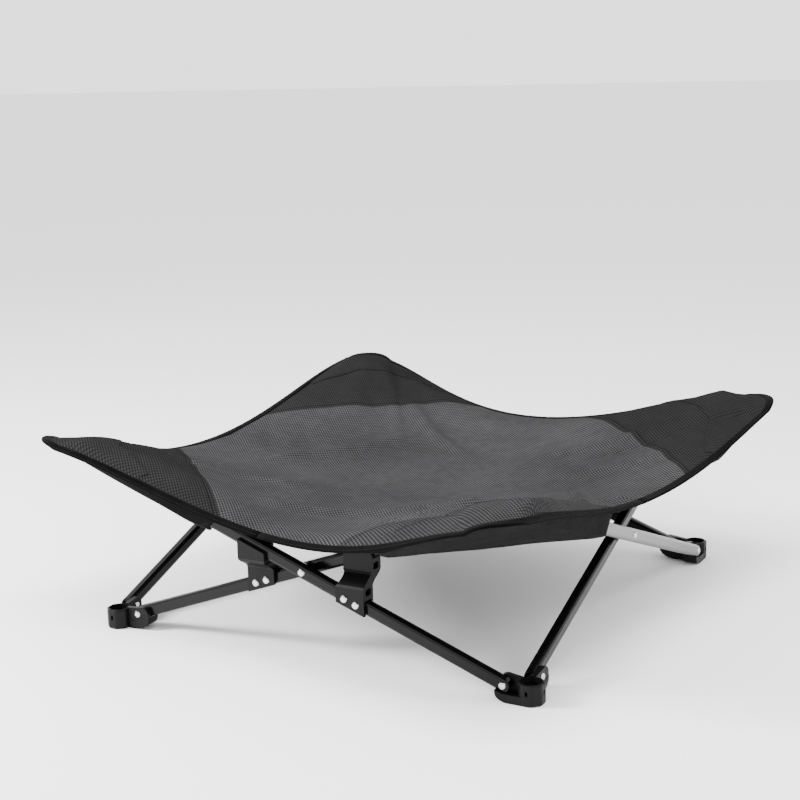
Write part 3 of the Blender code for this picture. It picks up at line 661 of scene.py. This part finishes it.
def skin(name, points, normals, uv, thickness, material):
    # A sheet with two sides: the given grid on top and its copy one thickness below.
    rows, columns = points.shape[:2]
    count = rows * columns
    top = points.reshape(-1, 3)
    flat_normals = normals.reshape(-1, 3)
    verts = np.vstack([top, top - flat_normals * thickness])
    index = np.arange(count).reshape(rows, columns)
    a, b, c, d = index[:-1, :-1], index[1:, :-1], index[1:, 1:], index[:-1, 1:]
    quads = np.stack([a, b, c, d], -1).reshape(-1, 4)
    sample = quads[len(quads) // 2]
    q = verts[sample]
    facing = np.cross(q[1] - q[0], q[2] - q[0]) @ flat_normals[sample[0]]
    if facing < 0:
        quads = quads[:, ::-1]
    under = quads[:, ::-1] + count
    loop = np.concatenate([index[0, :], index[1:, -1], index[-1, -2::-1], index[-2:0:-1, 0]])
    following = np.roll(loop, -1)
    walls = np.stack([loop, following, following + count, loop + count], -1)
    if facing > 0:
        walls = walls[:, ::-1]
    faces = np.vstack([quads, under, walls])
    mesh = bpy.data.meshes.new(name)
    mesh.from_pydata(verts.tolist(), [], faces.tolist())
    layer = mesh.uv_layers.new(name="cloth")
    flat_uv = np.vstack([uv.reshape(-1, 2)] * 2)
    corners = faces.reshape(-1)
    layer.data.foreach_set("uv", flat_uv[corners].astype(np.float32).reshape(-1))
    loop_normals = np.vstack([flat_normals, -flat_normals])[corners]
    side = verts[walls[:, 1]] - verts[walls[:, 0]]
    diagonal = verts[walls[:, 2]] - verts[walls[:, 0]]
    wall_normals = np.cross(side, diagonal)
    wall_normals /= np.maximum(np.linalg.norm(wall_normals, axis=1, keepdims=True), 1e-12)
    loop_normals[-4 * len(walls):] = np.repeat(wall_normals, 4, axis=0)
    mesh.polygons.foreach_set("use_smooth", [True] * len(faces))
    border = set(zip(loop.tolist(), following.tolist())) | set(zip(following.tolist(), loop.tolist()))
    border |= {(first + count, second + count) for first, second in border}
    sharp = [tuple(edge.vertices) in border for edge in mesh.edges]
    mesh.attributes.new("sharp_edge", "BOOLEAN", "EDGE").data.foreach_set("value", sharp)
    mesh.normals_split_custom_set(loop_normals.tolist())
    mesh.materials.append(material)
    obj = bpy.data.objects.new(name, mesh)
    bpy.context.scene.collection.objects.link(obj)
    return obj


def rounded(value, power):
    return math.copysign(abs(value) ** power, value)


def band(name, centre, inward, up, material):
    # A flat rounded band swept along a line, with capped ends.
    sides = TAPE_SIDES
    rows = []
    for i in range(sides):
        angle = 2 * math.pi * i / sides
        across = rounded(math.cos(angle), TAPE_EDGE_POWER) * TAPE_HALF_WIDTH
        lift = rounded(math.sin(angle), TAPE_FACE_POWER) * TAPE_HALF_THICK
        rows.append(centre + inward * across + up * lift)
    verts = np.stack(rows, 1).reshape(-1, 3)
    count = len(centre)
    run = run_along(centre)
    faces = []
    for i in range(count - 1):
        for j in range(sides):
            k = (j + 1) % sides
            faces.append((i * sides + j, i * sides + k, (i + 1) * sides + k, (i + 1) * sides + j))
    faces.append(tuple(range(sides))[::-1])
    faces.append(tuple((count - 1) * sides + j for j in range(sides)))
    mesh = bpy.data.meshes.new(name)
    mesh.from_pydata(verts.tolist(), [], faces)
    layer = mesh.uv_layers.new(name="cloth")
    for polygon in mesh.polygons:
        for loop_index in polygon.loop_indices:
            vertex = mesh.loops[loop_index].vertex_index
            layer.data[loop_index].uv = (run[vertex // sides], (vertex % sides) * TAPE_HALF_WIDTH / sides)
    bm = bmesh.new()
    bm.from_mesh(mesh)
    bmesh.ops.recalc_face_normals(bm, faces=bm.faces)
    bm.to_mesh(mesh)
    bm.free()
    mesh.shade_smooth()
    mesh.materials.append(material)
    obj = bpy.data.objects.new(name, mesh)
    bpy.context.scene.collection.objects.link(obj)
    return obj


def on_line(line, run, place):
    return Vector([np.interp(place, run, line[:, axis]) for axis in range(3)])


def stitches(obj, line, up):
    # Adds a row of thread stitches to a piece, sunk a little into its face.
    run = run_along(line)
    bm = bmesh.new()
    bm.from_mesh(obj.data)
    obj_materials = [material.name for material in obj.data.materials]
    if THREAD.name not in obj_materials:
        obj.data.materials.append(THREAD)
        obj_materials.append(THREAD.name)
    slot = obj_materials.index(THREAD.name)
    for number in range(int(run[-1] / STITCH_SPACING)):
        place = number * STITCH_SPACING + STITCH_SPACING * STITCH_START
        start = on_line(line, run, place)
        end = on_line(line, run, place + STITCH_LENGTH)
        lift = on_line(up, run, place).normalized()
        aside = (end - start).normalized().cross(lift)
        rings = []
        for share, size in STITCH_RINGS:
            ring = []
            for angle in STITCH_ANGLES:
                sideways = aside * math.cos(angle) * STITCH_WIDTH * size
                upwards = lift * math.sin(angle) * STITCH_WIDTH * size
                ring.append(bm.verts.new(start.lerp(end, share) + (sideways + upwards)))
            rings.append(ring)
        for first, second in zip(rings[:-1], rings[1:]):
            for j in range(4):
                k = (j + 1) % 4
                face = bm.faces.new((first[j], first[k], second[k], second[j]))
                face.material_index = slot
                face.smooth = True
        for face in (bm.faces.new(rings[0][::-1]), bm.faces.new(rings[-1])):
            face.material_index = slot
    bm.to_mesh(obj.data)
    bm.free()


def carry(obj, corner, *nodes):
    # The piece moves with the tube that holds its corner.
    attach(obj, CARRIER[corner])
    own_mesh(obj)
    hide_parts(*nodes)


# The whole cover on one grid, then cut into quarters at the middles of the sides

EDGE = edge_points()
KEPT = 1 - CLOTH_INSET / np.hypot(EDGE[:, 0], EDGE[:, 1])
CLOTH_EDGE = np.column_stack([EDGE[:, 0] * KEPT, EDGE[:, 1] * KEPT, EDGE[:, 2]])
SHARES = np.concatenate([[CENTRE_SHARE], np.linspace(0.0, 1.0, RINGS + 1)[1:] ** RING_SPREAD])
GX, GY, GZ = surface(CLOTH_EDGE, SHARES)
GZ = settle(GX, GY, GZ, SETTLE_ROUNDS)
FADE = np.clip((1 - SHARES) / RIM_FADE, 0, 1)[:, None]
GZ = np.maximum(GZ + fold_field(GX, GY) * FADE, on_tubes(GX, GY))
GRID = np.stack([GX, GY, GZ], -1)
NORMALS = grid_normals(GRID, True)


def quarter_columns(turn):
    # From the middle of this side's rim, past its tip, to the middle of the next side's rim.
    first = turn * PER_SIDE + RIM_STEPS // 2 - 1
    return [(first + i) % len(EDGE) for i in range(PER_SIDE + 1)]


def make_quarter(turn):
    corner = CORNERS[turn]
    columns = quarter_columns(turn)
    points = GRID[:, columns]
    normals = NORMALS[:, columns]
    sheet = skin("cover_quarter_" + corner, points, normals, points[..., :2], SHEET_THICK, MESH)
    carry(sheet, corner, "sleeping_sheet")
    tape = make_tape(corner, points, normals)
    patch = make_patch(corner, points, normals)
    pocket = make_pocket(turn)


def make_tape(corner, points, normals):
    across = smooth_line(points[-1] - points[-4], TAPE_SMOOTHING)
    across /= np.linalg.norm(across, axis=1, keepdims=True)
    up = smooth_line(normals[-1].copy(), TAPE_SMOOTHING)
    centre = points[-1] + across * (CLOTH_INSET - TAPE_HALF_WIDTH)
    centre[:, 2] -= TAPE_DROP
    tape = band("binding_" + corner, centre, across, up, TAPE)
    for inset in TAPE_STITCH_ROWS:
        stitches(tape, centre + across * inset + up * TAPE_STITCH_LIFT, up)
    carry(tape, corner, "edge_binding")
    return tape


def make_patch(corner, points, normals):
    # A patch over the tip, with a curved inner edge and a double row of stitches.
    middle = points.shape[1] // 2
    rows = []
    ups = []
    for step in range(PATCH_STEPS + 1):
        row = []
        up_row = []
        for column in range(middle - PATCH_HALF_COLUMNS, middle + PATCH_HALF_COLUMNS + 1):
            offset = abs(column - middle) / PATCH_HALF_COLUMNS
            inner = PATCH_START + PATCH_SIDE_START * offset ** PATCH_CURVE
            share = inner + (PATCH_END - inner) * step / PATCH_STEPS
            place = np.interp(share, SHARES, np.arange(len(SHARES)))
            row.append(between(points[:, column], place))
            up_row.append(between(normals[:, column], place))
        rows.append(row)
        ups.append(up_row)
    up = np.array(ups)
    up /= np.linalg.norm(up, axis=2, keepdims=True)
    grid = np.array(rows) + up * PATCH_LIFT
    patch = skin("tip_cover_" + corner, grid, up, grid[..., :2], PATCH_THICK, MESH)
    for place in PATCH_STITCH_ROWS:
        line_up = up[int(place), 1:-1]
        stitches(patch, between(grid, place)[1:-1] + line_up * PATCH_STITCH_LIFT, line_up)
    carry(patch, corner, "tip_patch_" + corner)
    return patch


def pocket_columns(turn):
    # The columns of the rim between the pocket's two mouths, past its tip.
    before_tip, past_tip = MOUTHS[turn]
    held = []
    for i in range(PER_SIDE + RIM_STEPS - 1):
        column = (turn * PER_SIDE + i) % len(EDGE)
        x, y = turned(EDGE[column, 0], EDGE[column, 1], -turn)
        mouth = before_tip if x + y < 0 else past_tip
        if x - y > mouth + MOUTH_MARGIN:
            held.append(column)
    return held


def pocket_seam(columns):
    seam = []
    for column in columns:
        ring = GRID[-1, column]
        inner = GRID[-3, column]
        step = (inner - ring) / np.linalg.norm(inner - ring)
        seam.append(ring + step * SEAM_INSET - NORMALS[-1, column] * SEAM_DROP)
    return np.array(seam)


def crease_at(x, y, turn, kind):
    scale, layer = kind
    return noise.noise(Vector((x * scale, y * scale, layer + turn)))


def make_pocket(turn):
    # The pocket hangs from a seam inside the binding, runs under both tubes and ends in a stitched mouth.
    corner = CORNERS[turn]
    seam = pocket_seam(pocket_columns(turn))
    local = np.array([(*turned(x, y, -turn), z) for x, y, z in seam])
    direction = (local[-1] - local[0]) / np.linalg.norm(local[-1] - local[0])
    first = local[0] + direction * MOUTH_MARGIN
    last = local[-1] - direction * MOUTH_MARGIN
    count = len(local)
    run = run_along(local[:, :2])
    left_taper, right_taper = POCKET_TAPERS[turn]
    grid = np.zeros((POCKET_STEPS + 1, count, 3))
    for i in range(count):
        share_across = i / (count - 1)
        aim = first + (last - first) * share_across
        hang = math.sin(math.pi * share_across)
        end = ease_in_out(min(run[i] / left_taper, (run[-1] - run[i]) / right_taper, 1.0))
        top = seam[i, 2]
        for step in range(POCKET_STEPS + 1):
            share = (step / POCKET_STEPS) ** POCKET_SPREAD
            x = local[i, 0] + (aim[0] - local[i, 0]) * share
            y = local[i, 1] + (aim[1] - local[i, 1]) * share
            reach = x - y - SIDE_PLANE - PLANE_OFFSET + PIVOT_REACH
            under = PIVOT_HEIGHT + reach * SLOPE - TUBE_RISE
            wall = ease_in_out(min(share / WALL_SHARE, 1.0))
            crease = crease_at(x, y, turn, BROAD_CREASE)
            crease += FINE_CREASE_SHARE * crease_at(x, y, turn, FINE_CREASE)
            low = min(under - UNDER_TUBE, top - LEAST_WALL * wall)
            low = top - TAPER_WALL + (low - top + TAPER_WALL) * end
            z = top + (low - top) * wall
            z -= math.sin(math.pi * share) * hang * POCKET_HANG
            z -= CREASE_DEPTH * (1 + crease) * wall
            grid[step, i] = (*turned(x, y, turn), z)
    up = grid_normals(grid, False)
    weave_u = (grid[..., 0] + grid[..., 1]) * DIAGONAL
    weave_v = (grid[..., 0] - grid[..., 1]) * DIAGONAL
    pocket = skin("under_pocket_" + corner, grid, up, np.stack([weave_u, weave_v], -1), POCKET_THICK, POCKET)
    line_up = up[POCKET_STITCH_ROW, 2:-2]
    stitches(pocket, grid[POCKET_STITCH_ROW, 2:-2] - line_up * POCKET_STITCH_LIFT, -line_up)
    carry(pocket, corner, "corner_pocket_" + corner)
    return pocket


for quarter in range(4):
    make_quarter(quarter)


# Floor, light and camera

FLOOR_HALF_SIZE = 80.0
FLOOR_DROP = 0.0002
WORLD_STRENGTH = 2.2

# The camera, as fitted to the photo
CAMERA_AZIMUTH = math.radians(28.8775)
CAMERA_ELEVATION = math.radians(11.9749)
CAMERA_ROLL = -0.0233789
CAMERA_TARGET = (-0.07671, 0.07550, 0.30095)
CAMERA_DISTANCE = 2.60548
CAMERA_LENS = 69.443
SENSOR_WIDTH = 36.0


def stage_floor():
    size = FLOOR_HALF_SIZE
    corners = [(-size, -size, 0), (size, -size, 0), (size, size, 0), (-size, size, 0)]
    mesh = bpy.data.meshes.new("floor")
    mesh.from_pydata(corners, [], [(0, 1, 2, 3)])
    floor = bpy.data.objects.new("floor", mesh)
    bpy.context.scene.collection.objects.link(floor)
    floor.location.z = -FLOOR_DROP
    t = Tree("floor_paper")
    mottle = t.math("MULTIPLY", t.noise(scale=3.0, detail=2.0), 0.06)
    mesh.materials.append(t.finish(t.mix(mottle, grey(0.80), grey(0.76)), 0.75))


def soft_light(name, place, size, power, target=(0, 0, 0.15)):
    data = bpy.data.lights.new(name, "AREA")
    data.shape = "RECTANGLE"
    data.size, data.size_y = size
    data.energy = power
    light = bpy.data.objects.new(name, data)
    light.location = place
    aim = Vector(target) - Vector(place)
    light.rotation_euler = aim.to_track_quat("-Z", "Y").to_euler()
    bpy.context.scene.collection.objects.link(light)


def set_world():
    world = bpy.data.worlds.new("studio")
    world.use_nodes = True
    background = world.node_tree.nodes["Background"]
    background.inputs[0].default_value = (1.0, 1.0, 1.0, 1.0)
    background.inputs[1].default_value = WORLD_STRENGTH
    bpy.context.scene.world = world


def set_camera():
    level = math.cos(CAMERA_ELEVATION)
    back = Vector((math.sin(CAMERA_AZIMUTH) * level, -math.cos(CAMERA_AZIMUTH) * level,
                   math.sin(CAMERA_ELEVATION)))
    right = (-back).cross(Vector((0, 0, 1))).normalized()
    up = right.cross(-back)
    cosine = math.cos(CAMERA_ROLL)
    sine = math.sin(CAMERA_ROLL)
    right, up = right * cosine + up * sine, up * cosine - right * sine
    data = bpy.data.cameras.new("camera")
    data.lens = CAMERA_LENS
    data.sensor_width = SENSOR_WIDTH
    camera = bpy.data.objects.new("camera", data)
    matrix = Matrix((right, up, back)).transposed().to_4x4()
    place = Vector(CAMERA_TARGET) + back * CAMERA_DISTANCE
    camera.matrix_world = Matrix.Translation(place) @ matrix
    bpy.context.scene.collection.objects.link(camera)
    bpy.context.scene.camera = camera


stage_floor()
set_world()
set_camera()
soft_light("top_softbox", place=(0.3, -0.6, 2.6), size=(1.6, 1.0), power=90.0)
soft_light("left_softbox", place=(-2.3, -1.6, 1.7), size=(0.8, 0.8), power=260.0)
soft_light("right_softbox", place=(2.2, 0.4, 1.4), size=(1.0, 1.4), power=30.0)
